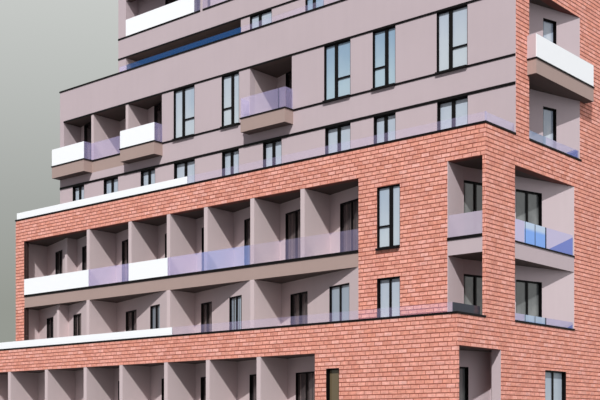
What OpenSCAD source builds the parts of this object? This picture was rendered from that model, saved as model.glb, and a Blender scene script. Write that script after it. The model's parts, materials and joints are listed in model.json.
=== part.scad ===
// Apartment block with four stepped-back tiers: brick lower tiers, rendered upper tiers,
// saw-tooth galleries on the front, brick-screened loggias on the side, glazed guards.
// Measured frame: X = 0 is the side face, -X runs along the front, Y = 0 is the lowest
// front face, +Y runs into the building, Z = 0 is the ground storey's floor.

/* [Storeys] */
// Floor to floor height
storey_h = 3200; // [3150:10:3250]
// Window and door head above the floor
head_h = 2150; // [2050:10:2250]
// Structural floor thickness
slab_t = 300; // [250:10:320]
// Top of the guards above the floor
guard_h = 800; // [750:10:900]
// Thickness of the slab under the ground storey
ground_t = 150; // [100:10:300]

/* [Plan] */
// Front length of the lowest tier
lower_len = 26800; // [26600:10:27200]
// Front length of the second tier
middle_len = 25894; // [25800:1:25990]
// Front length of the third tier
upper_len = 25040; // [25000:10:25100]
// Front length of the top tier
top_len = 23124; // [23000:1:23400]
// Depth of the lowest terrace
lower_terrace = 1700; // [1650:10:1750]
// Depth of the middle terrace
middle_terrace = 1950; // [1900:10:2000]
// Depth of the upper terrace
upper_terrace = 2050; // [2000:10:2100]
// Whole depth of the block
block_depth = 16000; // [15500:50:17000]

/* [Walls] */
// Outer wall thickness
wall_t = 300; // [280:10:320]
// Brick screen in front of the loggias
screen_t = 115; // [100:5:130]
// Slanted gallery and loggia walls
saw_t = 180; // [170:5:190]
// Fins between the gallery bays
fin_t = 200; // [160:10:220]
// Render coat that covers brick ends
skin_t = 20; // [15:1:30]
// Brick upstand above the lower terrace
lower_upstand = 495; // [470:5:520]
// Brick upstand above the middle terrace
middle_upstand = 435; // [410:5:460]
// Rendered upstand above the upper terrace
upper_upstand = 465; // [440:5:490]
// Rendered upstand above the roof
roof_upstand = 500; // [450:10:600]

/* [Edges] */
// Height of the dark copings
coping_t = 65; // [50:5:90]
// Height of the dark ledges at the second floor
ledge_t = 100; // [80:5:120]
// Overhang of the dark copings
coping_over = 30; // [20:5:45]
// Height of the dark lines on the render
course_h = 75; // [60:5:90]
// Projection of the dark lines
course_out = 25; // [15:5:35]
// Projection of the window sills
sill_out = 110; // [90:5:130]
// Lintel depth above the ground galleries
lintel_g = 500; // [480:10:520]
// Slab edge depth above the first floor
lintel_a = 550; // [530:10:570]
// Lintel depth above the second floor
lintel_b = 600; // [580:10:620]
// Lintel depth above the fourth floor side loggia
lintel_d = 650; // [630:10:670]
// Band depth under the top floor
lintel_e = 1050; // [1030:10:1060]
// Lintel depth above the top floor loggias
lintel_f = 1450; // [1400:10:1480]

/* [Galleries] */
// Full depth of a gallery bay
bay_depth = 1500; // [1400:10:1600]
// How fast the slanted walls come forward
saw_slope = 0.31; // [0.29:0.01:0.33]
// Depth of the top floor loggias
top_depth = 780; // [740:10:820]
// Depth of the recess below them
recess_depth = 1400; // [1300:10:1500]
// Width of a full glazed door
door_w = 1300; // [1200:10:1400]

/* [Windows] */
// Width of the lining boards in a reveal
lining_t = 15; // [12:1:18]
// Face width of the outer frame bars
bar_w = 35; // [30:1:45]
// Width of the post in doors and plain windows
post_w = 85; // [75:5:95]
// Width of the post in windows with a transom
wide_post = 145; // [120:5:160]
// Depth of frame bars
bar_d = 45; // [35:5:50]
// Reveal in front of the frames in the lower storeys and on the third floor
deep_reveal = 105; // [95:5:115]
// Reveal in front of the frames on the upper floors
thin_reveal = 50; // [35:5:60]
// Reveal of the doors in the slanted gallery walls
door_reveal = 40; // [30:5:60]
// Glass thickness
glass_t = 20; // [16:2:24]
// Transom height above the floor
transom_h = 765; // [650:5:900]
// Height of the transom bar
transom_t = 60; // [45:5:70]

/* [Guards] */
// Thickness of the guard panels
panel_t = 20; // [16:2:26]
// Set-back of the guard panels on the terraces
panel_back = 60; // [50:5:80]
// Projection of the front balconies
balcony_out = 500; // [450:10:550]
// Projection of the side balcony
side_out = 360; // [330:10:400]
// Depth of the front balconies' edge
balcony_edge = 590; // [560:5:620]
// Depth of the side balcony's edge
side_edge = 550; // [520:10:580]
// Thickness of the side balcony's cheeks
cheek_t = 80; // [60:5:100]
// Width of the slim posts behind the clear guards
guard_post = 45; // [35:5:60]

/* [Hidden] */
eps = 1;
seat = 0.2;
big = 60000;

// floor levels: ground, first to sixth, roof
lev = [for (k = [0:7]) k * storey_h];
y1 = lower_terrace;
y2 = y1 + middle_terrace;
y3 = y2 + upper_terrace;
y_front = [0, y1, y2, y3];
x_left = [-lower_len, -middle_len, -upper_len, -top_len];
upstand = [lower_upstand, middle_upstand, upper_upstand, roof_upstand];
// terrace level and rim of each tier
tier_top = [lev[1], lev[3], lev[5], lev[7]];
rim = [for (t = [0:3]) tier_top[t] + upstand[t]];
rear_in = block_depth - wall_t;

soffit_g = lev[1] - lintel_g;
soffit_a = lev[2] - lintel_a;
soffit_b = lev[3] - lintel_b;
soffit_d = lev[5] - lintel_d;
soffit_e = lev[6] - lintel_e;
soffit_f = lev[7] - lintel_f;
head_d = lev[4] + head_h;
head_f = lev[6] + head_h;
edge_low = lev[4] - side_edge;
front_low = lev[4] - balcony_edge;
lip = ledge_t / 2;

// ground gallery: its opening and the right faces of its fins
g_open = [-26100, -5810];
g_fins = [-23854, -21088, -18381, -16053, -13348, -11008, -8380];
// first floor gallery
a_open = [-25194, -5206];
recess_x = x_left[1] + wall_t + skin_t;
a_fins = [-20340, -15053, -10291];
a_step = -22850;
a_deep = [y1 + 1095, y1 + 780];
// second floor gallery
b_fins = [-20320, -17481, -15053, -12848, -10291, -7730];
b_step = -22900;
b_left = [y1 + 1575, y1 + 1310];
b_deep = y1 + bay_depth;
// corner loggia: its left end, and the slanted wall behind both side openings
corner_x = -1441;
corner_y = 2634;
side_open = [3600, 7950];
side_lean = -corner_x / (side_open[1] - corner_y);
// third and fourth floor side loggia
high_open = [4576, 8400];
high_deep = 1050;
high_lean = high_deep / (high_open[1] - high_open[0]);
// ground floor side loggia
low_open = [screen_t, 2659];
low_deep = 1684;
low_end = 3300;
low_lean = 0.3;
nib_len = 342;
// fourth floor loggias: openings, fins between them, balconies
d_open = [[x_left[2] + wall_t, -17708], [-12349, -10054]];
d_bays = [[d_open[0][0], -22644, 1020], [-22473, -20160, 1610], [-19979, -17708, 1160],
    [-12349, -10054, 1680]];
d_balcony = [[-25020, -22579], [-19966, -17663], [-12400, -9985]];
// slab edge lying flush between the first two balconies
flush_edge = [d_balcony[0][1], d_balcony[1][0]];
side_balcony_y = [4431, 8792];
d_deep = y2 + d_bays[3][2];
// fifth floor recess and top floor loggias
e_open = [-22563, -14826];
f_open = [[-22563, -17379], [-17216, -12400]];
f_deep = y3 + top_depth;
e_deep = y3 + recess_depth;
// posts behind the side loggia guards
post_row = [4345, 5037, 5812];

// rows of windows: left edge, width
c_row = [[-24062, 880], [-21737, 1040], [-19131, 980], [-16928, 1320], [-13968, 990],
    [-11621, 1020], [-8343, 1250], [-5996, 1010], [-3166, 1280]];
d_wide = [[-16947, 1320], [-8393, 1300], [-3187, 1290]];
d_slim = [[-13986, 1020], [-6042, 1050]];
e_row = [[-14281, 1290], [-11093, 1000], [-8393, 1300], [-6042, 1050], [-3187, 1290]];
f_row = [[-11093, 1000], [-8393, 1300], [-6042, 1050], [-3187, 1290]];
slim_win = [-5306, 574];
brick_win = [-4387, 988];
side_win = [5721, 1585];
side_row_y = 11400;
rear_row = [2400, 6100, 9800, 13500, 17200, 20500];
row_w = 1300;

// origin at the middle of the footprint, on the underside of the ground slab
x_mid = (x_left[0] + side_out) / 2;
y_mid = block_depth / 2;

module in_frame() {
    translate([-x_mid, -y_mid, ground_t]) children();
}

module box3(x, y, z) {
    translate([x[0], y[0], z[0]]) cube([x[1] - x[0], y[1] - y[0], z[1] - z[0]]);
}

// a wall panel between two x values whose front face slants back to the left
module slant(x, deep, z) {
    near = deep - saw_slope * (x[1] - x[0]);
    translate([0, 0, z[0]]) linear_extrude(z[1] - z[0])
        polygon([[x[0], deep], [x[1], near], [x[1], near + saw_t], [x[0], deep + saw_t]]);
}

// a slanted wall behind the side face, from p to q in plan
module side_slant(p, q, z) {
    translate([0, 0, z[0]]) linear_extrude(z[1] - z[0])
        polygon([p, q, [q[0] - saw_t, q[1]], [p[0] - saw_t, p[1]]]);
}

module fins(list, front, deep, z) {
    for (x = list) box3([x - fin_t, x], [front, deep + saw_t], z);
}

// every glazed unit: x, y, z, angle of its wall, width, wall thickness, reveal, transom side
function unit(p, a, w, t, r, side) = [p[0], p[1], p[2], a, w, t, r, side];
function front_row(list, y, z, r, side) = [for (p = list) unit([p[0], y, z], 0, p[1], wall_t, r, side)];
front_units = concat(
    front_row([slim_win], 0, lev[0], deep_reveal, 0),
    front_row([brick_win], y1, lev[1], deep_reveal, 2),
    front_row([brick_win], y1, lev[2], thin_reveal, -1),
    front_row(c_row, y2, lev[3], deep_reveal, 3),
    front_row(d_wide, y2, lev[4], thin_reveal, 1),
    front_row(d_slim, y2, lev[4], thin_reveal, -1),
    front_row(e_row, y3, lev[5], thin_reveal, 1),
    front_row(f_row, y3, lev[6], thin_reveal, 1));
side_units = concat([unit([0, side_win[0], lev[0]], 90, side_win[1], wall_t, deep_reveal, 2)],
    [for (k = [0:6]) unit([0, side_row_y, lev[k]], 90, row_w, wall_t, deep_reveal, 2)]);
rear_units = [for (k = [0:6]) for (x = rear_row)
    unit([-x, block_depth, lev[k]], 180, row_w, wall_t, deep_reveal, 2)];

// a unit in a slanted gallery wall, dx from the wall's deep end
function saw_unit(x, deep, dx, w, z) =
    unit([x + dx, deep - saw_slope * dx, z], -atan(saw_slope), w, saw_t, door_reveal, 2);
function pairs(list, last) =
    [for (k = [0:len(list) - 1]) [list[k], k < len(list) - 1 ? list[k + 1] - fin_t : last]];
g_bays = concat([[g_open[0], g_fins[0] - fin_t]], pairs(g_fins, g_open[1]));
b_bays = pairs(b_fins, a_open[1]);
a_bays = concat([[recess_x, a_step], [a_step, a_fins[0] - fin_t]], pairs(a_fins, a_open[1]));
function deep_a(k) = k < 2 ? a_deep[k] : y1 + saw_slope * (a_bays[k][1] - a_bays[k][0]);
function a_unit(k, dx, w) = saw_unit(a_bays[k][0], deep_a(k), dx, w, lev[1]);
gallery_units = concat(
    [for (k = [1:7]) saw_unit(g_bays[k][0], bay_depth, [1000, 1050, 415, 1060, 460, 935, 530][k - 1],
        k < 3 ? 900 : door_w, lev[0])],
    [a_unit(0, 1080, 940), a_unit(1, 610, 1000), a_unit(2, 980, 1200), a_unit(2, 3504, 970),
     a_unit(3, 553, 980), a_unit(3, 2933, 1020), a_unit(4, 669, 1250), a_unit(4, 3297, 1300)],
    [saw_unit(recess_x, b_left[0], 1140, 970, lev[2]), saw_unit(b_step, b_left[1], 630, 1000, lev[2])],
    [for (k = [0:5]) saw_unit(b_bays[k][0], b_deep, [670, 700, 480, 860, 400, 650][k],
        k > 3 ? door_w + 100 : 1000, lev[2])]);

// a unit in a slanted wall behind the side face, dy from the wall's deep end
function lean_unit(p, lean, dy, w, z, side) =
    unit([p[0] + lean * dy, p[1] + dy, z], 90 - atan(lean), w, saw_t, 2 * door_reveal, side);
corner_p = [corner_x, corner_y];
loggia_units = concat(
    [for (k = [1, 2]) for (d = [[30, 1260], [2420, 1310]])
        lean_unit(corner_p, side_lean, d[0], d[1], lev[k], 2)],
    [for (k = [3, 4]) lean_unit([-high_deep, high_open[0]], high_lean, 1960, 690, lev[k], 0)],
    [lean_unit([-low_deep, wall_t], low_lean, 800, 1330, lev[0], 2)],
    [for (k = [0:3]) saw_unit(d_bays[k][0], y2 + d_bays[k][2], [425, 700, 700, 668][k],
        [1480, 1300, 1310, 1300][k], lev[4])],
    [for (x = [-20598, -19000, -16200, -13900]) unit([x, f_deep, lev[6]], 0, 1150, saw_t, door_reveal, 2)],
    [for (x = [-21000, -18600, -16300]) unit([x, e_deep, lev[5]], 0, 1150, saw_t, door_reveal, 2)]);

module place(u) {
    translate([u[0], u[1], u[2]]) rotate([0, 0, u[3]]) children();
}

module cut_units(list) {
    for (u = list) place(u) translate([0, -eps, 0]) cube([u[4], u[5] + 3 * eps + saw_t, head_h]);
}

// lining, outer bars and rebate for the glass, then a post and one transom in the wider leaf
// (side 2: a slim post only, side 3: a wide one)
module frames(list) {
    for (u = list) place(u) {
        w = u[4];
        h = head_h;
        side = u[7];
        y = [u[6], u[6] + bar_d];
        pw = abs(side) % 2 == 1 ? wide_post : post_w;
        mid = w * (side == 1 ? 0.43 : side == -1 ? 0.575 : side == 3 ? 0.48 : 0.5);
        post = [mid - pw / 2, mid + pw / 2];
        z = [lining_t, h - lining_t];
        difference() {
            cube([w, y[1] + glass_t, h]);
            box3([lining_t, w - lining_t], [-eps, y[0]], z);
            box3([lining_t, w - lining_t], [y[1], big], z);
            box3([lining_t + bar_w, w - lining_t - bar_w], [-eps, big], [z[0] + bar_w, z[1] - bar_w]);
        }
        if (side != 0) box3(post, y, z);
        if (abs(side) == 1) box3(side > 0 ? [post[1] - eps, w - lining_t] : [lining_t, post[0] + eps],
            y, [transom_h - transom_t / 2, transom_h + transom_t / 2]);
    }
}

module glazing(list) {
    for (u = list) place(u)
        box3([lining_t, u[4] - lining_t], [u[6] + bar_d, u[6] + bar_d + glass_t],
            [lining_t, head_h - lining_t]);
}

module ground_slab() {
    in_frame() color("gray") box3([x_left[0], 0], [0, block_depth], [-ground_t, 0]);
}

module upper_floors() {
    in_frame() color("silver") for (k = [1:6]) {
        t = k < 2 ? 0 : k < 4 ? 1 : k < 6 ? 2 : 3;
        box3([x_left[t] + wall_t, -wall_t], [y_front[t] + wall_t, rear_in], [lev[k] - slab_t, lev[k]]);
    }
}

module roof_slab() {
    in_frame() color("silver") box3([x_left[3] + wall_t, -wall_t], [y3 + wall_t, rear_in], [lev[7] - slab_t, lev[7]]);
}

module lower_front_wall() {
    in_frame() color("salmon") difference() {
        box3([x_left[0], -wall_t], [0, wall_t], [0, rim[0]]);
        box3(g_open, [-eps, wall_t + eps], [-eps, soffit_g]);
        box3([-low_deep, 0], [screen_t, wall_t + eps], [-eps, soffit_g]);
        cut_units(front_units);
    }
}

module middle_front_wall() {
    through = [y1 - eps, y1 + wall_t + eps];
    in_frame() color("salmon") difference() {
        box3([x_left[1], -wall_t], [y1, y1 + wall_t], [lev[1], rim[1]]);
        box3(a_open, through, [lev[1] - eps, soffit_b]);
        for (z = [[lev[1] - eps, soffit_a], [lev[2], soffit_b]])
            box3([recess_x, a_open[1]], [y1 + screen_t, y1 + wall_t + eps], z);
        box3([corner_x - skin_t, 0], through, [lev[1] - eps, soffit_b]);
        cut_units(front_units);
    }
}

module upper_front_wall() {
    in_frame() color("thistle") difference() {
        union() {
            box3([x_left[2], -wall_t], [y2, y2 + wall_t], [lev[3], rim[2]]);
            box3([-wall_t - eps, 0], [y2, y2 + skin_t], [rim[1], rim[2]]);
        }
        box3(flush_edge, [y2 - eps, y2 + screen_t], [front_low, lev[4] + eps]);
        for (o = d_open) box3(o, [y2 - eps, y2 + wall_t + eps], [lev[4], head_d]);
        cut_units(front_units);
    }
}

module top_front_wall() {
    through = [y3 - eps, y3 + wall_t + eps];
    in_frame() color("thistle") difference() {
        union() {
            box3([x_left[3], -wall_t], [y3, y3 + wall_t], [lev[5], rim[3]]);
            box3([-wall_t - eps, 0], [y3, y3 + skin_t], [rim[2], rim[3]]);
        }
        box3(e_open, through, [lev[5] - eps, soffit_e]);
        for (o = f_open) box3(o, through, [lev[6], soffit_f]);
        cut_units(front_units);
    }
}

module side_wall() {
    pocket = [-wall_t - eps, -screen_t];
    out = [-wall_t - eps, eps];
    in_frame() color("salmon") difference() {
        union() {
            box3([-wall_t, 0], [0, block_depth], [0, rim[0]]);
            box3([-wall_t, 0], [y1, block_depth], [0, rim[1]]);
            box3([-wall_t, 0], [y2 + skin_t, block_depth], [0, rim[2]]);
            box3([-wall_t, 0], [y3 + skin_t, block_depth], [0, rim[3]]);
        }
        box3(out, [low_open[0], low_open[1] + skin_t], [-eps, soffit_g]);
        box3(pocket, [low_open[0], low_end], [-eps, soffit_g]);
        box3(out, side_open, [rim[0], soffit_b]);
        box3(pocket, [y1 - eps, side_open[1]], [lev[1], soffit_a]);
        box3(pocket, [y1 - eps, side_open[1]], [lev[2], soffit_b]);
        box3(pocket, [y1 - eps, y1 + wall_t], [lev[1], soffit_b]);
        box3(out, high_open, [rim[1], soffit_d]);
        box3(pocket, high_open, [lev[3], edge_low]);
        box3(pocket, high_open, [lev[4], soffit_d]);
        cut_units(side_units);
    }
}

module left_brick_walls() {
    in_frame() color("salmon") {
        box3([x_left[0], x_left[0] + wall_t], [wall_t, rear_in], [0, rim[0]]);
        box3([x_left[1], x_left[1] + wall_t], [y1 + wall_t, rear_in], [lev[1], rim[1]]);
    }
}

module left_render_walls() {
    in_frame() color("thistle") {
        box3([x_left[2], x_left[2] + wall_t], [y2 + wall_t, rear_in], [lev[3], rim[2]]);
        box3([x_left[3], x_left[3] + wall_t], [y3 + wall_t, rear_in], [lev[5], rim[3]]);
    }
}

module rear_profile(points) {
    translate([0, block_depth, 0]) rotate([90, 0, 0]) linear_extrude(wall_t) polygon(points);
}

module rear_brick_wall() {
    in_frame() color("salmon") difference() {
        rear_profile([[x_left[0], 0], [-wall_t, 0], [-wall_t, lev[3]], [x_left[2], lev[3]],
            [x_left[2], rim[1]], [x_left[1], rim[1]], [x_left[1], rim[0]], [x_left[0], rim[0]]]);
        cut_units(rear_units);
    }
}

module rear_render_wall() {
    in_frame() color("thistle") difference() {
        rear_profile([[x_left[2], lev[3]], [-wall_t, lev[3]], [-wall_t, rim[3]], [x_left[3], rim[3]],
            [x_left[3], rim[2]], [x_left[2], rim[2]]]);
        cut_units(rear_units);
    }
}

module ground_gallery_walls() {
    z = [0, soffit_g];
    last = bay_depth - saw_slope * (g_open[1] - g_fins[6]) + saw_t;
    in_frame() color("thistle") difference() {
        union() {
            box3([x_left[0] + wall_t, g_open[0]], [wall_t, bay_depth + saw_t], z);
            for (b = g_bays) slant(b, bay_depth, z);
            fins(g_fins, 0, bay_depth, z);
            box3([g_open[1], g_open[1] + saw_t], [wall_t, last], z);
        }
        cut_units(gallery_units);
    }
}

module first_gallery_walls() {
    z = [lev[1], soffit_a];
    in_frame() color("thistle") difference() {
        union() {
            box3([x_left[1] + wall_t, recess_x], [y1 + wall_t, deep_a(0) + saw_t], z);
            for (k = [0:4]) slant(a_bays[k], deep_a(k), z);
            box3([a_step - saw_t, a_step],
                [deep_a(0) - saw_slope * (a_step - recess_x), deep_a(1) + saw_t], z);
            for (k = [0:2]) fins([a_fins[k]], y1, deep_a(k + 2), z);
        }
        cut_units(gallery_units);
    }
}

module second_gallery_walls() {
    z = [lev[2], soffit_b];
    left = b_left[0];
    next = b_left[1];
    in_frame() color("thistle") difference() {
        union() {
            box3([x_left[1] + wall_t, recess_x], [y1 + wall_t, left + saw_t], z);
            slant([recess_x, b_step], left, z);
            box3([b_step - saw_t, b_step], [left - saw_slope * (b_step - recess_x), next + saw_t], z);
            slant([b_step, b_fins[0] - fin_t], next, z);
            for (b = b_bays) slant(b, b_deep, z);
            fins(b_fins, y1, b_deep, z);
            box3([a_open[1], a_open[1] + saw_t],
                [y1 + wall_t, b_deep - saw_slope * (a_open[1] - b_fins[5]) + saw_t], z);
        }
        cut_units(gallery_units);
        box3([x_left[1], 0], [0, y1 + screen_t], [lev[2] - eps, lev[2] + lip]);
    }
}

module gallery_ceilings() {
    in_frame() color("thistle") {
        box3([x_left[0] + wall_t, g_open[1] + saw_t], [wall_t, bay_depth + wall_t],
            [soffit_g, lev[1] - slab_t]);
        for (z = [[soffit_a, lev[2] - slab_t], [soffit_b, lev[3] - slab_t]])
            box3([x_left[1] + wall_t, a_open[1] + saw_t], [y1 + wall_t, b_deep + wall_t], z);
    }
}

module gallery_slab_edge() {
    in_frame() color("tan") {
        box3(a_open, [y1, y1 + wall_t], [soffit_a, lev[2] - lip]);
        box3(a_open, [y1 + screen_t, y1 + wall_t], [lev[2] - lip - eps, lev[2]]);
    }
}

module side_loggia_walls() {
    in_frame() color("thistle") difference() {
        for (z = [[lev[1], soffit_a], [lev[2], soffit_b]]) {
            box3([corner_x - skin_t, corner_x], [y1, y1 + wall_t + eps], z);
            box3([corner_x - saw_t, corner_x], [y1 + wall_t, corner_y], z);
            side_slant(corner_p, [0, side_open[1]], z);
        }
        cut_units(loggia_units);
        box3([-screen_t, 0], side_open, [lev[1] - eps, rim[0] + coping_t]);
        box3([-screen_t, 0], side_open, [lev[2] - eps, lev[2] + lip]);
        box3([corner_x - saw_t, 0], [y1 - eps, y1 + screen_t], [lev[2] - eps, lev[2] + lip]);
    }
}

module high_loggia_walls() {
    in_frame() color("thistle") difference() {
        for (z = [[lev[3], edge_low], [lev[4], soffit_d]]) {
            side_slant([-high_deep, high_open[0]], [0, high_open[1]], z);
            box3([-high_deep - saw_t, -wall_t], [high_open[0] - saw_t, high_open[0]], z);
        }
        cut_units(loggia_units);
        box3([-screen_t, 0], high_open, [lev[3] - eps, rim[1] + coping_t]);
    }
}

module ground_loggia_walls() {
    z = [0, soffit_g];
    far = -low_deep + low_lean * (low_end - wall_t);
    in_frame() color("thistle") difference() {
        union() {
            side_slant([-low_deep, wall_t], [far, low_end], z);
            box3([far - saw_t, -wall_t], [low_end, low_end + saw_t], z);
            box3([-nib_len, 0], [low_open[1], low_open[1] + skin_t], z);
            box3([-nib_len, -screen_t], [low_open[1], low_open[1] + screen_t], z);
        }
        cut_units(loggia_units);
    }
}

module loggia_ceilings() {
    in_frame() color("thistle") {
        for (z = [[soffit_a, lev[2] - slab_t], [soffit_b, lev[3] - slab_t]])
            box3([corner_x - saw_t, -wall_t], [y1 + wall_t, side_open[1] + saw_t], z);
        box3([-low_deep - saw_t, -wall_t], [wall_t, low_end + saw_t], [soffit_g, lev[1] - slab_t]);
        for (z = [[edge_low, lev[4] - slab_t], [soffit_d, lev[5] - slab_t]])
            box3([-high_deep - saw_t, -wall_t], [high_open[0] - saw_t, high_open[1] + saw_t], z);
        for (x = [[d_open[0][0], d_open[0][1] + saw_t], [d_open[1][0] - saw_t, d_open[1][1] + saw_t]])
            box3(x, [y2 + wall_t, d_deep + wall_t], [head_d, lev[5] - slab_t]);
        box3([e_open[0] - saw_t, e_open[1] + saw_t], [y3 + wall_t, e_deep + saw_t],
            [soffit_e, lev[6] - slab_t]);
        box3([f_open[0][0] - saw_t, f_open[1][1] + saw_t], [y3 + wall_t, f_deep + saw_t],
            [head_f, lev[7] - slab_t]);
    }
}

module loggia_slab_edges() {
    in_frame() color("thistle") {
        box3([-wall_t, 0], side_open, [soffit_a, lev[2]]);
        box3([corner_x - skin_t, -screen_t], [y1, y1 + wall_t], [soffit_a, lev[2] - lip]);
        box3([corner_x - skin_t, -screen_t], [y1 + screen_t, y1 + wall_t], [lev[2] - lip - eps, lev[2]]);
        box3([-wall_t, 0], high_open, [edge_low, lev[4]]);
    }
}

module upper_loggia_walls() {
    z = [lev[4], head_d];
    function deep(k) = y2 + d_bays[k][2];
    function near(k) = deep(k) - saw_slope * (d_bays[k][1] - d_bays[k][0]);
    in_frame() color("thistle") difference() {
        union() {
            for (k = [0:3]) slant([d_bays[k][0], d_bays[k][1]], deep(k), z);
            for (k = [0, 1]) box3([d_bays[k][1], d_bays[k + 1][0]],
                [y2, max(deep(k + 1), near(k)) + saw_t], z);
            for (k = [2, 3]) box3([d_bays[k][1], d_bays[k][1] + saw_t], [y2 + wall_t, near(k) + saw_t], z);
            box3([d_open[1][0] - saw_t, d_open[1][0]], [y2 + wall_t, deep(3) + saw_t], z);
        }
        cut_units(loggia_units);
    }
}

// back walls of the top floor loggias and of the recess below, closed at both ends
module top_loggia_walls() {
    in_frame() color("thistle") difference() {
        union() for (r = [[f_open[0][0], f_open[1][1], f_deep, lev[6], head_f],
            [e_open[0], e_open[1], e_deep, lev[5], soffit_e]]) {
            z = [r[3], r[4]];
            box3([r[0] - saw_t, r[1] + saw_t], [r[2], r[2] + saw_t], z);
            for (x = [r[0] - saw_t, r[1]]) box3([x, x + saw_t], [y3 + wall_t, r[2] - seat], z);
        }
        cut_units(loggia_units);
    }
}

// balcony edges, and the flush slab edge between the first two
module front_balconies() {
    in_frame() color("tan") {
        for (b = d_balcony) box3(b, [y2 - balcony_out, y2], [front_low, lev[4] - lip]);
        box3(flush_edge, [y2, y2 + screen_t], [front_low, lev[4]]);
    }
}

module side_balcony() {
    in_frame() color("tan") box3([0, side_out], side_balcony_y, [edge_low, lev[4] - lip]);
}

module parapet_copings() {
    o = coping_over;
    in_frame() color("black") for (t = [0:3]) {
        z = [rim[t], rim[t] + coping_t];
        back = t < 3 ? y_front[t + 1] : block_depth + o;
        box3([x_left[t] - o, o], [y_front[t] - o, y_front[t] + wall_t], z);
        box3([x_left[t] - o, x_left[t] + wall_t], [y_front[t] + wall_t, block_depth + o], z);
        box3([-wall_t, o], [y_front[t] + wall_t, back], z);
        if (t < 3) box3([x_left[t] + wall_t, x_left[t + 1]], [rear_in, block_depth + o], z);
        else box3([x_left[t] + wall_t, -wall_t], [rear_in, block_depth + o], z);
    }
}

module ledge_copings() {
    o = coping_over;
    low = [lev[2] - lip, lev[2] + lip];
    top = [lev[4] - lip, lev[4]];
    in_frame() color("black") {
        box3(a_open, [y1 - o, y1 + screen_t], low);
        box3([corner_x - skin_t, -screen_t], [y1 - o, y1 + screen_t], low);
        box3([-screen_t, o], side_open, [lev[2], low[1]]);
        box3([-screen_t, o], side_open, [rim[0], rim[0] + coping_t]);
        box3([-screen_t, o], high_open, [rim[1], rim[1] + coping_t]);
        box3([0, o], [high_open[1] - eps, high_open[1] + 95], [rim[1], rim[1] + coping_t]);
        for (b = d_balcony) box3([b[0] - o, b[1] + o], [y2 - balcony_out - o, y2], top);
        box3([0, side_out + o], [side_balcony_y[0] - o, side_balcony_y[1] + o], top);
    }
}

// dark lines along the rendered fronts, broken where the balconies pass
module string_courses() {
    in_frame() color("black") difference() {
        union() {
            box3([x_left[2], 0], [y2 - course_out, y2], [lev[3] + head_h, lev[3] + head_h + 1.3 * course_h]);
            box3([x_left[2], 0], [y2 - course_out, y2], [lev[4] - course_h, lev[4]]);
            box3([d_open[0][0], 0], [y2 - course_out, y2], [head_d, head_d + course_h]);
            for (z = [lev[5] + head_h, lev[6] - course_h])
                box3([x_left[3], 0], [y3 - course_out, y3], [z, z + course_h]);
        }
        for (b = d_balcony) box3([b[0] - coping_over, b[1] + coping_over], [0, y2 + eps],
            [front_low, lev[4] + eps]);
        box3([f_open[0][1], f_open[1][0]], [0, y3 + eps], [lev[6] - course_h - eps, lev[6] + eps]);
    }
}

// sills stand proud of the dark line where one runs below them
module window_sills() {
    upper = [for (u = front_units) if (u[2] == lev[4] || u[2] == lev[6]) u];
    brick = [for (u = front_units) if (u[2] == lev[2]) u];
    in_frame() color("black") {
        for (u = upper) place(u) box3([0, u[4]], [-sill_out, -course_out], [-course_h, 0]);
        for (u = brick) place(u) box3([0, u[4]], [-sill_out, 0], [-course_h, 0]);
        for (u = concat(side_units, rear_units)) if (u[2] > 0)
            place(u) box3([0, u[4]], [-coping_over, 0], [-course_h, 0]);
    }
}

// a guard panel along the front at depth y, or along the side face at x
module front_panel(x, y, foot, top) {
    box3(x, [y, y + panel_t], [foot, top + guard_h]);
}

module side_panel(x, y, foot, top) {
    box3([x - panel_t, x], y, [foot, top + guard_h]);
}

// guards standing just in front of a wall face
face_gap = panel_t + 2;
terrace_foot = [for (t = [0:2]) rim[t] + coping_t];
terrace_guard = [lev[1] + 70, lev[3] + 25, lev[5]];
dark_x = -205;
slim_gap = panel_t + 1;
white_d = [d_balcony[0], d_balcony[1]];
balcony_y = y2 - balcony_out;
// side guards stop at the slanted walls
side_guard = [side_open[0], side_open[1] - slim_gap / side_lean];
high_guard = [high_open[0], high_open[1] - slim_gap / high_lean];

module white_panels() {
    in_frame() color("white") {
        front_panel([x_left[0], -13154], panel_back, terrace_foot[0], terrace_guard[0]);
        for (x = [[a_open[0], -20359], [-17644, -15179]]) front_panel(x, y1 - face_gap, lev[2] + lip, lev[2]);
        front_panel([x_left[1], -14097], y1 + panel_back, terrace_foot[1], terrace_guard[1]);
        for (b = white_d) front_panel(b, balcony_y, lev[4], lev[4]);
        front_panel([f_open[0][0] + panel_t, -17760], y3 - face_gap, lev[6], lev[6]);
        side_panel(side_out, side_balcony_y, lev[4], lev[4]);
    }
}

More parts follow.
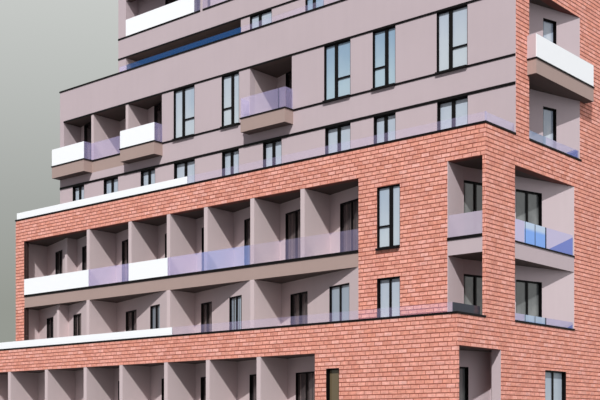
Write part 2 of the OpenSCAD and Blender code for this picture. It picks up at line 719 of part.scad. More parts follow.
module clear_panels() {
    back = panel_back + panel_t;
    in_frame() color("lavender") {
        front_panel([-13154, dark_x], panel_back, terrace_foot[0], terrace_guard[0]);
        for (x = [[-20359, -17644], [-15179, a_open[1]]]) front_panel(x, y1 - face_gap, lev[2] + lip, lev[2]);
        front_panel([corner_x, -screen_t], y1 + panel_t, lev[2] + lip, lev[2]);
        front_panel([-14097, 0], y1 + panel_back, terrace_foot[1], terrace_guard[1]);
        front_panel([x_left[3] + 2450, 0], y2 + panel_back, terrace_foot[2], terrace_guard[2]);
        side_panel(-panel_back, [y1 + back, y2], terrace_foot[1], terrace_guard[1]);
        side_panel(-panel_back, [y2 + back, y3], terrace_foot[2], terrace_guard[2]);
        side_panel(-panel_t, side_guard, terrace_foot[0], lev[1]);
        side_panel(-panel_t, side_guard, lev[2] + lip, lev[2]);
        side_panel(-panel_t, high_guard, terrace_foot[1], lev[3]);
        front_panel(d_balcony[2], balcony_y, lev[4], lev[4]);
        front_panel(flush_edge, y2 - face_gap, lev[4], lev[4]);
        for (b = d_balcony) for (x = [b[0] + panel_t, b[1]])
            side_panel(x, [balcony_y + panel_t, y2 - face_gap], lev[4], lev[4]);
        front_panel([-17760, f_open[0][1]], y3 - face_gap, lev[6], lev[6]);
        front_panel(f_open[1], y3 - face_gap, lev[6], lev[6]);
    }
}

module dark_panel() {
    in_frame() color("dimgray") side_panel(dark_x, [panel_back + panel_t, y1], terrace_foot[0], terrace_guard[0]);
}

// rendered ends of the side balcony
module balcony_cheeks() {
    in_frame() color("thistle") for (y = [side_balcony_y[0], side_balcony_y[1] - cheek_t])
        box3([0, side_out - panel_t], [y, y + cheek_t], [lev[4], lev[4] + guard_h]);
}

// slim dark posts behind the clear guards
module guard_posts() {
    in_frame() color("black") {
        for (k = [0:2]) for (z = [[terrace_foot[0], lev[1]], [lev[2] + lip, lev[2]]]) {
            w = k < 2 ? guard_post : 1.8 * guard_post;
            box3([-2 * panel_t - guard_post, -2 * panel_t], [post_row[k] - w / 2, post_row[k] + w / 2],
                [z[0], z[1] + guard_h]);
        }
        x = d_balcony[2][1] - 340;
        box3([x - guard_post, x], [balcony_y + panel_t, balcony_y + panel_t + guard_post],
            [lev[4], lev[4] + guard_h]);
    }
}

module front_window_frames() { in_frame() color("black") frames(front_units); }
module front_window_glass() { in_frame() color("lightblue") glazing(front_units); }
module gallery_door_frames() { in_frame() color("black") frames(gallery_units); }
module gallery_door_glass() { in_frame() color("lightblue") glazing(gallery_units); }
module loggia_door_frames() { in_frame() color("black") frames(loggia_units); }
module loggia_door_glass() { in_frame() color("lightblue") glazing(loggia_units); }
module side_window_frames() { in_frame() color("black") frames(side_units); }
module side_window_glass() { in_frame() color("lightblue") glazing(side_units); }
module rear_window_frames() { in_frame() color("black") frames(rear_units); }
module rear_window_glass() { in_frame() color("lightblue") glazing(rear_units); }

ground_slab();
upper_floors();
roof_slab();
lower_front_wall();
middle_front_wall();
upper_front_wall();
top_front_wall();
side_wall();
left_brick_walls();
left_render_walls();
rear_brick_wall();
rear_render_wall();
ground_gallery_walls();
first_gallery_walls();
second_gallery_walls();
gallery_ceilings();
gallery_slab_edge();
side_loggia_walls();
high_loggia_walls();
ground_loggia_walls();
loggia_ceilings();
loggia_slab_edges();
upper_loggia_walls();
top_loggia_walls();
front_balconies();
side_balcony();
parapet_copings();
ledge_copings();
string_courses();
window_sills();
white_panels();
clear_panels();
dark_panel();
balcony_cheeks();
guard_posts();
front_window_frames();
front_window_glass();
gallery_door_frames();
gallery_door_glass();
loggia_door_frames();
loggia_door_glass();
side_window_frames();
side_window_glass();
rear_window_frames();
rear_window_glass();
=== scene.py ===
"""Looks of the stepped apartment block: laid brick, render, guards and glazing over its solids."""
import json
import math
import random

import bpy
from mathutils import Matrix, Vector


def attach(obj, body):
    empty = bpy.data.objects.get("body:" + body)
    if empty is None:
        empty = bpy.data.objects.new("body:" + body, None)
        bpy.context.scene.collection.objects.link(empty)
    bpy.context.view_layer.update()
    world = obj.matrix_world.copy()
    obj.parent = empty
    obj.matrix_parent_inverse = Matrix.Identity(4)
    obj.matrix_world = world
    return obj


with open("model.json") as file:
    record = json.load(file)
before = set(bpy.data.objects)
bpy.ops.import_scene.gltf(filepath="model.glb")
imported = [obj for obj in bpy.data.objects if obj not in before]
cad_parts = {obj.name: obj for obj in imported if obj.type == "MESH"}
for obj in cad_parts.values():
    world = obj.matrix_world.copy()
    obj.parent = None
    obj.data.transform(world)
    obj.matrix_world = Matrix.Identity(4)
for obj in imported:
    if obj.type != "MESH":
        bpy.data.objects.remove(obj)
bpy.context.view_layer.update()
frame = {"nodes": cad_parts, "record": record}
nodes = frame["nodes"]

# facing brick, in metres
COURSE = 0.147          # height of a course
BRICK = 0.340           # length of a brick with its joint
BED = 0.033             # first bed above the underside of the block
BED_JOINT = 0.030
END_JOINT = 0.022
PROUD = 0.008           # how far a brick stands out of its joints
SHIFT = 0.43            # shift of each course, as a share of a brick
ARRIS = 0.004           # bevel of the worn edges
SHORTEST_BRICK = 0.03
SMALLEST_WALL_FACE = 4.0  # square metres

# the block, in metres
STOREY = 3.2            # floor to floor
GROUND = 0.150          # ground storey's floor above the underside
CORNER_X = 13.220       # front corner of the survey, in the scene
CORNER_Y = -8.000

# viewpoint at the photograph's angle
LENS = 65.88            # millimetres, on a sensor 36 wide
LENS_SHIFT = 0.385
EYE = (31.915, -37.324, 0.150)
HEADING = 40.66         # degrees
SIGHT = 900

# plain floor
FLOOR_RADIUS = 420
FLOOR_SIDES = 96


def srgb(red, green, blue):
    """linear colour of a swatch given in steps of 255"""
    def linear(step):
        part = step / 255
        return part / 12.92 if part <= 0.04045 else ((part + 0.055) / 1.055) ** 2.4
    return (linear(red), linear(green), linear(blue), 1.0)


def plan(x, y, z):
    """a point of the survey, in millimetres from the front corner, as a place in the scene"""
    return Vector((x / 1000 + CORNER_X, y / 1000 + CORNER_Y, z / 1000 + GROUND))


class Term:
    """A shader socket that takes part in Python sums."""

    def __init__(self, graph, socket):
        self.graph = graph
        self.socket = socket

    def sum(self, operation, *others):
        inputs = dict(enumerate((self,) + others))
        return self.graph.node("ShaderNodeMath", {"operation": operation}, inputs)

    def __add__(self, other):
        return self.sum("ADD", other)

    def __sub__(self, other):
        return self.sum("SUBTRACT", other)

    def __mul__(self, other):
        return self.sum("MULTIPLY", other)

    def __truediv__(self, other):
        return self.sum("DIVIDE", other)

    def __rsub__(self, other):
        return self.graph.node("ShaderNodeMath", {"operation": "SUBTRACT"}, {0: other, 1: self})

    def __gt__(self, other):
        return self.sum("GREATER_THAN", other)

    def __lt__(self, other):
        return self.sum("LESS_THAN", other)

    def __abs__(self):
        return self.sum("ABSOLUTE")

    __radd__ = __add__
    __rmul__ = __mul__

    def floor(self):
        return self.sum("FLOOR")

    def fract(self):
        return self.sum("FRACT")


class Graph:
    """The nodes of a material or of the sky, and the one way they are added."""

    def __init__(self, tree):
        self.tree = tree

    def node(self, kind, settings=None, inputs=None, out=0):
        made = self.tree.nodes.new(kind)
        for key, value in (settings or {}).items():
            if key == "stops":
                self.ramp_stops(made.color_ramp, value)
            else:
                setattr(made, key, value)
        for key, value in (inputs or {}).items():
            self.feed(made.inputs[key], value)
        return Term(self, made.outputs[out])

    def feed(self, socket, value):
        if isinstance(value, Term):
            self.tree.links.new(value.socket, socket)
        else:
            socket.default_value = value

    def ramp_stops(self, ramp, stops):
        while len(ramp.elements) < len(stops):
            ramp.elements.new(0.5)
        for element, (place, colour) in zip(ramp.elements, stops):
            element.position = place
            element.color = colour

    def coordinate(self, kind):
        """Object, Normal or Generated coordinates"""
        return self.node("ShaderNodeTexCoord", out=kind)

    def parts(self, vector):
        """the three numbers of a vector"""
        split = self.node("ShaderNodeSeparateXYZ", None, {0: vector})
        return [Term(self, out) for out in split.socket.node.outputs]

    def seen(self):
        """1 for what the camera sees, directly, mirrored or through glass"""
        camera = self.node("ShaderNodeLightPath", out="Is Camera Ray")
        rays = camera.socket.node.outputs
        glossy, through = Term(self, rays["Is Glossy Ray"]), Term(self, rays["Is Transmission Ray"])
        return camera + glossy + through > 0.5

    def between(self, value, low, high):
        """1 inside a stretch, else 0"""
        return (value > low) * (value < high)

    def noise(self, where, scale, detail=3.0, rough=0.55):
        return self.node("ShaderNodeTexNoise", None,
                         {"Vector": where, "Scale": scale, "Detail": detail, "Roughness": rough})

    def stretched(self, where, x, y, z):
        return self.node("ShaderNodeVectorMath", {"operation": "MULTIPLY"}, {0: where, 1: (x, y, z)})

    def vector(self, x, y, z=0.0):
        return self.node("ShaderNodeCombineXYZ", None, {0: x, 1: y, 2: z})

    def random(self, where):
        return self.node("ShaderNodeTexWhiteNoise", {"noise_dimensions": "3D"}, {"Vector": where})

    def blend(self, part, first, second):
        """colour that goes from first to second"""
        settings = {"data_type": "RGBA", "clamp_factor": True}
        return self.node("ShaderNodeMix", settings, {0: part, 6: first, 7: second}, 2)

    def shade(self, colour, part):
        """colour made lighter or darker by a number"""
        if isinstance(colour, tuple):
            colour = colour[:3]
        return self.node("ShaderNodeVectorMath", {"operation": "SCALE"}, {0: colour, 3: part})

    def step(self, value, low, high):
        """0 below low, 1 above high, and smooth between them"""
        return self.node("ShaderNodeMapRange", {"clamp": True, "interpolation_type": "SMOOTHSTEP"},
                         {0: value, 1: low, 2: high})


class Finish(Graph):
    """A material on one plain shader."""

    def __init__(self, name, **plain):
        self.material = bpy.data.materials.new(name)
        self.material.use_nodes = True
        super().__init__(self.material.node_tree)
        self.surface = self.tree.nodes["Principled BSDF"]
        self.set(**plain)

    def set(self, **values):
        for name, value in values.items():
            label = name.replace("_", " ").title().replace("Ior", "IOR")
            self.feed(self.surface.inputs[label], value)

    def place(self):
        """object coordinates, as a vector and as three numbers"""
        where = self.coordinate("Object")
        return [where] + self.parts(where)

    def facing(self):
        """how far a surface faces along x, y and z"""
        return self.parts(self.coordinate("Normal"))

    def painted_underside_shade(self, colour, dark):
        """colour, but dark on whatever faces down: painted shade on undersides; colour, but dark
        on whatever faces down, as a painted soffit would be; that is a guess
        """
        return self.blend(self.facing()[2] < -0.5, colour, dark)

    def storeys(self, z):
        """storeys above the ground storey's floor"""
        return (z - GROUND) / STOREY

    def relief(self, height, distance, strength=1.0):
        bump = self.node("ShaderNodeBump", None,
                         {"Height": height, "Distance": distance, "Strength": strength})
        self.set(normal=bump)


def brick_finish():
    """salmon brick, each with its own tone, in dark joints that line up with the laid bricks"""
    finish = Finish("facing_brick")
    where, x, y, z = finish.place()
    across = finish.facing()[0]
    side = abs(across) > 0.5
    along = x + (y - x) * side
    level = (z - BED) / COURSE
    course = level.floor()
    cell = along / BRICK + (course * SHIFT).fract()
    brick = cell.floor()
    own = finish.random(finish.vector(brick, course, side))
    other = finish.random(finish.vector(course, brick, side + 4.0))
    in_course = abs(level.fract() - 0.5)
    in_brick = abs(cell.fract() - 0.5)
    bed = in_course > 0.5 - BED_JOINT / 2 / COURSE
    end = in_brick > 0.5 - END_JOINT / 2 / BRICK
    face = finish.node("ShaderNodeValToRGB", {"stops": [
        (0.0, srgb(215, 142, 124)), (0.3, srgb(226, 156, 139)),
        (0.7, srgb(233, 165, 150)), (1.0, srgb(241, 179, 165))]}, {0: own})
    cloud = finish.noise(where, 1.3)
    blotch = finish.noise(finish.stretched(where, 6.0, 6.0, 12.0), 1.0, 2.0, 0.6)
    grain = finish.noise(where, 22.0, 4.0, 0.7)
    warm = finish.blend(other * 0.5, face, srgb(234, 158, 132))
    mottle = (cloud - 0.5) * 0.20 + (blotch - 0.5) * 0.95 + (grain - 0.5) * 0.30
    toned = finish.shade(warm, mottle + 0.97)
    jointed = finish.blend(bed, finish.blend(end, toned, srgb(154, 84, 67)), srgb(150, 80, 62))
    # the brick's undersides take a dark brown painted shade
    finish.set(base_color=finish.painted_underside_shade(jointed, srgb(92, 44, 38)), roughness=(grain - 0.5) * 0.2 + 0.88)
    finish.relief(grain * 0.4 + (1 - bed) * 0.6, 0.004, 0.6)
    return finish.material


def render_finish(name, tone, underside_shade=srgb(70, 53, 50)):
    """smooth render with faint trowel clouds, rain streaks and a fine grain; whatever faces down takes
    the darker underside colour as painted shade
    """
    finish = Finish(name)
    where = finish.coordinate("Object")
    cloud = finish.noise(where, 0.55, 4.0)
    streaks = finish.noise(finish.stretched(where, 5.0, 5.0, 0.25), 1.0, 3.0)
    grain = finish.noise(where, 60.0, 4.0, 0.7)
    mottle = (cloud - 0.5) * 0.10 + (streaks - 0.5) * 0.05 + (grain - 0.5) * 0.06 + 1.0
    patch = finish.shade(tone, 1.02 - finish.step(cloud, 0.3, 0.7) * 0.06)
    # undersides take the underside colour as painted shade
    finish.set(base_color=finish.painted_underside_shade(finish.shade(patch, mottle), underside_shade),
               roughness=(grain - 0.5) * 0.15 + 0.85)
    finish.relief(grain, 0.003, 0.5)
    return finish.material


def metal_finish(name, tone, dusty):
    """powder coat with a fine fleck and settled dust"""
    finish = Finish(name, metallic=0.0, specular_ior_level=0.16)
    where = finish.coordinate("Object")
    fleck = finish.noise(where, 90.0, 3.0, 0.6)
    dust = finish.noise(where, 1.6, 4.0)
    finish.set(base_color=finish.blend((dust - 0.45) * 0.5, tone, dusty),
               roughness=(dust - 0.5) * 0.25 + 0.5)
    finish.relief(fleck, 0.0006, 0.5)
    return finish.material


def concrete_finish():
    """cast slab, with paving laid on what faces up"""
    finish = Finish("slab_and_paving")
    where, x, y, _ = finish.place()
    up = finish.facing()[2]
    cloud = finish.noise(where, 0.8, 5.0)
    grain = finish.noise(where, 45.0, 4.0, 0.7)
    joint = ((x / 0.6).fract() < 0.018) + ((y / 0.6).fract() < 0.018)
    own = finish.random(finish.vector((x / 0.6).floor(), (y / 0.6).floor()))
    cast = finish.shade(srgb(176, 173, 168), (cloud - 0.5) * 0.25 + (grain - 0.5) * 0.12 + 1.0)
    slab = finish.shade(srgb(186, 182, 176), (own - 0.5) * 0.12 + (cloud - 0.5) * 0.25 + 1.0)
    paved = finish.blend(joint, slab, srgb(104, 100, 96))
    finish.set(base_color=finish.blend(up > 0.5, cast, paved), roughness=(grain - 0.5) * 0.2 + 0.85)
    finish.relief(grain * 0.4 - joint, 0.003, 0.6)
    return finish.material


def window_glazing():
    """sealed glazing; its tones are painted reflection of a pale sky, bluer high on the front, and brown
    on the ground storey's front
    """
    finish = Finish("window_glazing", specular_ior_level=0.6, coat_weight=0.6, coat_roughness=0.03)
    where, x, y, z = finish.place()
    level = finish.storeys(z)
    wave = finish.noise(finish.stretched(where, 0.9, 0.9, 0.5), 1.0, 3.0)
    pane = finish.random(finish.vector((x * 1.1).floor(), level.floor(), (y * 1.1).floor()))
    height = finish.step(level.fract() + (wave - 0.5) * 0.6, 0.05, 0.7)
    pale = finish.blend(height, srgb(196, 204, 210), srgb(180, 190, 202))
    blue = finish.blend(height, srgb(172, 194, 205), srgb(140, 166, 188))
    middle = (level > 3.9) * finish.between(x, 1.5, 9.3)
    tone = finish.blend(middle * 0.9 + (wave - 0.45) * 0.8 + (pane - 0.5) * 0.3, pale, blue)
    # brown painted reflection on the ground storey's front windows
    foot = (level < 0.9) * (x < 12.5) * (y < 0.0)
    finish.set(base_color=finish.blend(foot, tone, srgb(106, 92, 70)),
               roughness=(wave - 0.5) * 0.06 + 0.10)
    return finish.material


def gallery_glazing():
    """doors of the galleries: dark with folds of curtain; the tones of some on the first floor
    stand for a reflected sky"""
    finish = Finish("gallery_glazing", specular_ior_level=0.6, coat_weight=0.6, coat_roughness=0.03)
    where, x, _, z = finish.place()
    level = finish.storeys(z)
    wave = finish.noise(finish.stretched(where, 0.9, 0.9, 0.35), 1.0, 2.0)
    tone = finish.blend(wave, srgb(48, 44, 46), srgb(38, 34, 36))
    folds = finish.noise(finish.stretched(where, 11.0, 11.0, 0.05), 1.0, 2.0, 0.5)
    folded = finish.blend(finish.step(folds, 0.42, 0.62) * 0.75, tone, srgb(112, 98, 94))
    every_other = abs(((x - 1.7) / 5.0 + 0.5).fract() - 0.5) < 0.16
    first = finish.between(level, 1.0, 2.0) * (x > -4.5)
    striped = finish.step(folds, 0.46, 0.54) * (x < 5.0)
    sky = finish.blend(striped, srgb(172, 184, 197), srgb(62, 62, 66))
    finish.set(base_color=finish.blend(every_other * first * 0.92, folded, sky),
               roughness=(wave - 0.5) * 0.06 + 0.10)
    return finish.material


def loggia_glazing():
    """doors of the loggias: almost black on the front; at the side a grey painted reflection, pale high
    up there; all darker towards the top of each storey
    """
    finish = Finish("loggia_glazing", specular_ior_level=0.6, coat_weight=0.5, coat_roughness=0.03)
    where, x, _, z = finish.place()
    level = finish.storeys(z)
    wave = finish.noise(finish.stretched(where, 2.2, 2.2, 1.2), 1.0, 3.0)
    front = finish.blend(level.fract() + wave - 0.5, srgb(58, 48, 46), srgb(34, 28, 30))
    height = finish.step(level.fract() + (wave - 0.5) * 0.8, 0.1, 0.6)
    side = finish.blend(height, srgb(136, 138, 136), srgb(88, 90, 90))
    high = finish.blend(height, srgb(196, 202, 208), srgb(158, 170, 188))
    finish.set(base_color=finish.blend(x > 8.0, front, finish.blend(level > 3.0, side, high)),
               roughness=(wave - 0.5) * 0.06 + 0.10)
    return finish.material


def panel_finish(name, tone, alpha, dusty):
    """back-painted glass guard with a faint film of dust"""
    finish = Finish(name, specular_ior_level=0.4, alpha=alpha)
    where = finish.coordinate("Object")
    dust = finish.noise(where, 0.8, 3.0)
    finish.set(base_color=finish.blend((dust - 0.3) * 0.6, tone, dusty),
               roughness=(dust - 0.5) * 0.08 + 0.12)
    return finish.material


def clear_finish():
    """tinted glass guards whose tones and densities by storey and place are painted reflection:
    faint on the terraces, violet on the balconies, deep blue in the fifth floor recess. At the side
    the bluer pane and paler top are painted reflection, the darker triangle low in the corner is a
    painted shadow of the wall behind, and the dark lines are painted where the posts stand behind
    the glass."""
    finish = Finish("clear_glass_painted_reflection", specular_ior_level=0.4)
    where, x, y, z = finish.place()
    level = finish.storeys(z)
    storey = level.floor()
    dust = finish.noise(where, 0.8, 3.0)
    first, second, third, fourth, fifth = (abs(storey - floor) < 0.5 for floor in range(1, 6))
    faint = first + third + second * finish.between(x, 2.72, 9.5) + fifth * (x > 0.3)
    upper = fourth * 0.07 + (storey > 5.5) * 0.13
    # violet, faint and deep blue tones and their densities by storey and place: painted reflection
    violet = finish.blend(dust, srgb(202, 202, 255), srgb(224, 206, 250))
    violet = finish.blend(finish.step(x, -0.6, 0.6) * second * 0.8, violet, srgb(160, 188, 255))
    # deep blue and denser in front of the fifth floor recess: painted reflection of the sky
    recess = fifth * finish.between(x, -6.95, 0.3)
    corner = second * (x > 9.5)
    side = (x > 13.15) * (storey < 3.5)
    tone_with_painted_light = finish.blend(recess, finish.blend(faint, violet, srgb(208, 194, 238)), srgb(26, 84, 144))
    tone_with_painted_light = finish.blend(corner, tone_with_painted_light, srgb(204, 190, 206))
    height = level.fract() * STOREY
    above_second = storey > 2.5
    # paler towards the top of each storey: painted reflection
    bright = finish.blend(finish.step(height, 0.48, 0.64), srgb(134, 176, 244), srgb(196, 214, 236))
    bright = finish.blend(above_second, bright, srgb(150, 168, 196))
    blue_pane = abs(y + 2.95) < 0.76
    pale = finish.blend(blue_pane, srgb(202, 194, 222), bright)
    # a darker blue triangle low in the corner: painted shadow of the wall behind the glass
    painted_shadow_triangle = (y + 2.0) * 0.36 - height > -0.05
    folded = finish.blend(painted_shadow_triangle, pale, srgb(122, 136, 204))
    lines = (abs(y + 3.655) < 0.020) + (abs(y + 2.963) < 0.025) + (abs(y + 2.188) < 0.045)
    lined = finish.blend(lines * (storey < 2.5), folded, srgb(22, 24, 52))
    tone_with_painted_light = finish.blend(side, tone_with_painted_light, lined)
    density = (dust - 0.5) * 0.08 - faint * 0.15 + recess * 0.24 - upper
    density = density + corner * 0.38 + side * (0.56 - above_second * 0.14) + 0.25
    finish.set(base_color=tone_with_painted_light, roughness=(dust - 0.5) * 0.08 + 0.12, alpha=density)
    return finish.material


def dress():
    """gives each solid the finish of its slot, or one of its own; each coat of render has one
    tone whichever way it faces, save for painted shade on what faces down. The gallery and
    loggia walls take lighter copies of the mauve render as painted light, and their ceilings a
    dark copy as painted shade"""
    # lighter copies of the mauve render, painted light on gallery and loggia walls; a dark copy, painted
    # shade on their ceilings
    gallery = render_finish("gallery_render", srgb(203, 185, 185))
    loggia = render_finish("loggia_render", srgb(199, 182, 184))
    painted_underside_shade = render_finish("soffit_painted_shade", srgb(76, 60, 56), underside_shade=srgb(60, 46, 43))
    finishes = {
        "concrete": concrete_finish(),
        "brick": brick_finish(),
        "render": render_finish("mauve_render", srgb(191, 174, 177)),
        "edge_render": render_finish("tan_edge_render", srgb(168, 145, 137)),
        "dark_metal": metal_finish("dark_powder_coat", srgb(8, 5, 6), srgb(22, 17, 19)),
        "white_panel": panel_finish("white_back_painted_glass", srgb(252, 253, 254), 1.0,
                                    srgb(248, 251, 251)),
        "clear_panel": clear_finish(),
        "grey_panel": panel_finish("grey_glass", srgb(60, 62, 72), 1.0, srgb(72, 72, 80)),
        "window_glass": window_glazing(),
    }
    own = {
        "gallery_ceilings": painted_underside_shade,
        "loggia_ceilings": painted_underside_shade,
        "loggia_door_glass": loggia_glazing(),
        "ground_gallery_walls": gallery,
        "first_gallery_walls": gallery,
        "second_gallery_walls": gallery,
        "upper_loggia_walls": gallery,
        "side_loggia_walls": loggia,
        "gallery_door_glass": gallery_glazing(),
    }
    for part in frame["record"]["subparts"]:
        name = part["node"]
        finish = own.get(name, finishes[part["material_slot"]])
        for slot in nodes[name].material_slots:
            slot.material = finish
    return finishes


def covered(triangles, level):
    """stretches of a wall face that a level line crosses"""
    spans = []
    for corners in triangles:
        cut = []
        for (h0, z0), (h1, z1) in zip(corners, corners[1:] + corners[:1]):
            if (z0 < level) != (z1 < level):
                cut.append(h0 + (h1 - h0) * (level - z0) / (z1 - z0))
        if len(cut) == 2:
            spans.append(sorted(cut))
    spans.sort()
    merged = []
    for low, high in spans:
        if merged and low <= merged[-1][1] + 0.0015:
            merged[-1][1] = max(merged[-1][1], high)
        else:
            merged.append([low, high])
    return [span for span in merged if span[1] - span[0] > SHORTEST_BRICK]


def wall_faces(node, axis, sign):
    """the flat faces of a wall that look one way: place along the axis, and triangles"""
    mesh = nodes[node].data
    mesh.calc_loop_triangles()
    flats = {}
    for tri in mesh.loop_triangles:
        if tri.normal[axis] * sign > 0.99:
            points = [mesh.vertices[i].co for i in tri.vertices]
            flats.setdefault(round(points[0][axis], 3), []).append(
                [(p[1 - axis], p[2]) for p in points])
    def area(triangles):
        return sum(abs((b[0] - a[0]) * (c[1] - a[1]) - (c[0] - a[0]) * (b[1] - a[1])) / 2
                   for a, b, c in triangles)
    return {place: tris for place, tris in flats.items() if area(tris) > SMALLEST_WALL_FACE}


def course_bricks(triangles, course):
    """bricks of one course, cut round the openings, as (from, to, foot, top)"""
    foot = BED + course * COURSE + BED_JOINT / 2
    top = foot + COURSE - BED_JOINT
    breaks = {round(z, 3) for tri in triangles for _, z in tri if foot + 0.004 < z < top - 0.004}
    levels = [foot] + sorted(breaks) + [top]
    done = {}
    bricks = []
    offset = (course * SHIFT) % 1.0
    for low, high in zip(levels, levels[1:]):
        fresh = {}
        for start, end in covered(triangles, (low + high) / 2):
            first = math.floor(start / BRICK + offset)
            last = math.floor(end / BRICK + offset)
            for index in range(first, last + 1):
                a = max(start, (index - offset) * BRICK + END_JOINT / 2)
                b = min(end, (index + 1 - offset) * BRICK - END_JOINT / 2)
                if b - a < SHORTEST_BRICK:
                    continue
                key = (index, round(a, 3), round(b, 3))
                fresh[key] = (done.pop(key)[0] if key in done else low, high)
        bricks += [(key[1], key[2], z[0], z[1]) for key, z in done.items()]
        done = fresh
    bricks += [(key[1], key[2], z[0], z[1]) for key, z in done.items()]
    return bricks


def add_piece(name, points, faces, finish):
    """a mesh on the block's one body"""
    mesh = bpy.data.meshes.new(name)
    mesh.from_pydata(points, [], faces)
    mesh.materials.append(finish)
    piece = bpy.data.objects.new(name, mesh)
    bpy.context.collection.objects.link(piece)
    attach(piece, "root")
    return piece


def lay_bricks(name, node, axis, sign, brick):
    """bricks with worn arrises, a little proud of the joints, over the outer faces of a wall"""
    dice = random.Random(name)
    points, faces = [], []
    for place, triangles in wall_faces(node, axis, sign).items():
        heights = [z for tri in triangles for _, z in tri]
        first = math.floor((min(heights) - BED) / COURSE) - 1
        last = math.ceil((max(heights) - BED) / COURSE) + 1
        for course in range(first, last):
            for a, b, foot, top in course_bricks(triangles, course):
                start = len(points)
                rim = [(a, foot), (b, foot), (b, top), (a, top)]
                face = [(a + ARRIS, foot + ARRIS), (b - ARRIS, foot + ARRIS),
                        (b - ARRIS, top - ARRIS), (a + ARRIS, top - ARRIS)]
                for along, z in rim:
                    points.append((along, z, place))
                out = PROUD + dice.uniform(-0.0015, 0.001)
                for along, z in face:
                    points.append((along, z, place + sign * (out + dice.uniform(-0.001, 0.001))))
                faces.append([start + i for i in (4, 5, 6, 7)])
                for i in range(4):
                    j = (i + 1) % 4
                    faces.append([start + i, start + j, start + 4 + j, start + 4 + i])
    if axis == 1:
        placed = [(along, place, z) for along, z, place in points]
    else:
        placed = [(place, along, z) for along, z, place in points]
    if (axis == 1) == (sign > 0):
        faces = [face[::-1] for face in faces]
    return add_piece(name, placed, faces, brick)


def add_shade_jamb_covers():
    """folded metal linings on the inner jamb of the left pier, screwed on in two lengths a storey; their
    dark brown is painted shade, standing for the shade on that jamb
    """
    fold = [(-0.022, 0.000), (0.004, 0.000), (0.004, 0.110), (0.010, 0.118), (0.010, 0.150),
            (0.004, 0.158), (0.004, 0.250), (-0.050, 0.250)]
    inner = [(-0.022, 0.003), (0.001, 0.003), (0.001, 0.111), (0.007, 0.119), (0.007, 0.149),
             (0.001, 0.157), (0.001, 0.247), (-0.050, 0.247)]
    points, faces = [], []

    def prism(ring, lift):
        """a closed outline carried from one place to another"""
        start, size = len(points), len(ring)
        points.extend(Vector(point) for point in ring)
        points.extend(Vector(point) + Vector(lift) for point in ring)
        faces.append([start + i for i in range(size)][::-1])
        faces.append([start + size + i for i in range(size)])
        for i in range(size):
            j = (i + 1) % size
            faces.append([start + i, start + j, start + size + j, start + size + i])

    pier_x, pier_y = -25194, 1690
    open_gap, screw_radius, screw_height, screw_in = 0.006, 0.011, 0.004, 0.060
    for foot, head in ((3205, 5850), (6405, 9000)):
        length = (head - foot) / 2000
        for half in range(2):
            corner = plan(pier_x, pier_y, foot) + Vector((0, 0, half * length))
            ring = [(corner.x + dx, corner.y + dy, corner.z) for dx, dy in fold + inner[::-1]]
            prism(ring, (0, 0, length - open_gap))
            for part in (0.08, 0.5, 0.92):
                centre = corner + Vector((fold[1][0], screw_in, length * part))
                turns = [math.tau * i / 8 for i in range(8)]
                rim = [(centre.x, centre.y + screw_radius * math.cos(turn),
                        centre.z + screw_radius * math.sin(turn)) for turn in turns]
                prism(rim, (screw_height, 0, 0))
    # dark brown painted shade on the jamb
    brown = metal_finish("brown_coat_painted_shade", srgb(62, 46, 44), srgb(82, 66, 64))
    add_piece("left_jamb_shade_covers", points, faces, brown)


def set_camera():
    lens = bpy.data.cameras.new("street_view")
    lens.lens = LENS
    lens.sensor_width = 36
    lens.shift_y = LENS_SHIFT
    lens.clip_end = SIGHT
    camera = bpy.data.objects.new("street_view", lens)
    camera.location = EYE
    camera.rotation_euler = (math.radians(90), 0, math.radians(HEADING))
    bpy.context.collection.objects.link(camera)
    bpy.context.scene.camera = camera
    bpy.context.scene.view_settings.view_transform = "Standard"


def add_lamp(name, towards, strength, angle):
    """a distant lamp that shines from a direction, angle degrees wide"""
    light = bpy.data.lights.new(name, "SUN")
    light.energy = strength
    light.angle = math.radians(angle)
    lamp = bpy.data.objects.new(name, light)
    lamp.rotation_euler = Vector(towards).to_track_quat("Z", "Y").to_euler()
    bpy.context.collection.objects.link(lamp)


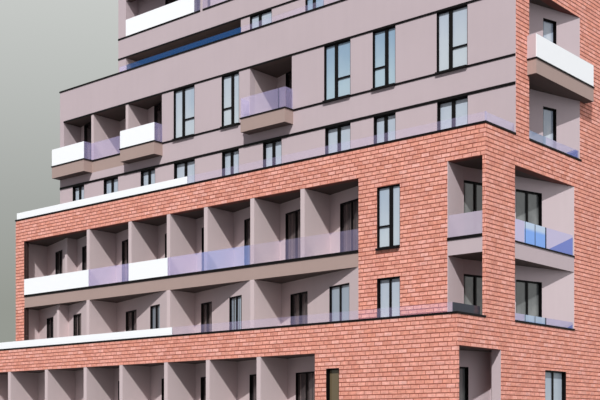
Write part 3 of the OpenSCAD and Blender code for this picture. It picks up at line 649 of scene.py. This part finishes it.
def set_light():
    add_lamp("key_light", (0.62, -1.0, 1.015), 3.68, 0.6)
    add_lamp("side_fill", (1.0, -0.1, 0.45), 1.12, 100)
    add_lamp("back_fill", (-0.7, 1.0, 0.45), 1.5, 40)
    world = bpy.data.worlds.new("studio")
    world.use_nodes = True
    bpy.context.scene.world = world
    studio = Graph(world.node_tree)
    height = studio.parts(studio.coordinate("Generated"))[2]
    sky = studio.node("ShaderNodeValToRGB", {"stops": [
        (0.22, srgb(150, 153, 146)), (0.40, srgb(166, 169, 165)),
        (0.58, srgb(186, 189, 186)), (0.72, srgb(199, 202, 199))]}, {0: height * 2.0})
    ambient = (0.200, 0.212, 0.255, 1)
    back = world.node_tree.nodes["Background"]
    studio.feed(back.inputs["Color"], studio.blend(studio.seen(), ambient, sky))
    studio.feed(back.inputs["Strength"], 1.0)


def add_floor():
    """a wide pale disc that keeps the block's shadow and throws little light back up"""
    finish = Finish("pale_floor", roughness=0.9, specular_ior_level=0.1)
    cloud = finish.noise(finish.coordinate("Object"), 0.2)
    pale = finish.shade(srgb(196, 197, 194), (cloud - 0.5) * 0.04 + 1.0)
    bounced = (0.16, 0.16, 0.16, 1)
    finish.set(base_color=finish.blend(finish.seen(), bounced, pale))
    mesh = bpy.data.meshes.new("floor")
    turns = [math.tau * step / FLOOR_SIDES for step in range(FLOOR_SIDES)]
    mesh.from_pydata([(FLOOR_RADIUS * math.cos(turn), FLOOR_RADIUS * math.sin(turn), 0)
                      for turn in turns], [], [list(range(FLOOR_SIDES))])
    mesh.materials.append(finish.material)
    floor = bpy.data.objects.new("floor", mesh)
    bpy.context.collection.objects.link(floor)


set_camera()
set_light()
add_floor()
finishes = dress()
for name, node, axis, sign in (
        ("lower_front_bricks", "lower_front_wall", 1, -1),
        ("middle_front_bricks", "middle_front_wall", 1, -1),
        ("side_bricks", "side_wall", 0, 1),
        ("left_bricks", "left_brick_walls", 0, -1),
        ("rear_bricks", "rear_brick_wall", 1, 1)):
    piece = lay_bricks(name, node, axis, sign, finishes["brick"])
    print(name, len(piece.data.polygons) * 2, "triangles")

add_shade_jamb_covers()
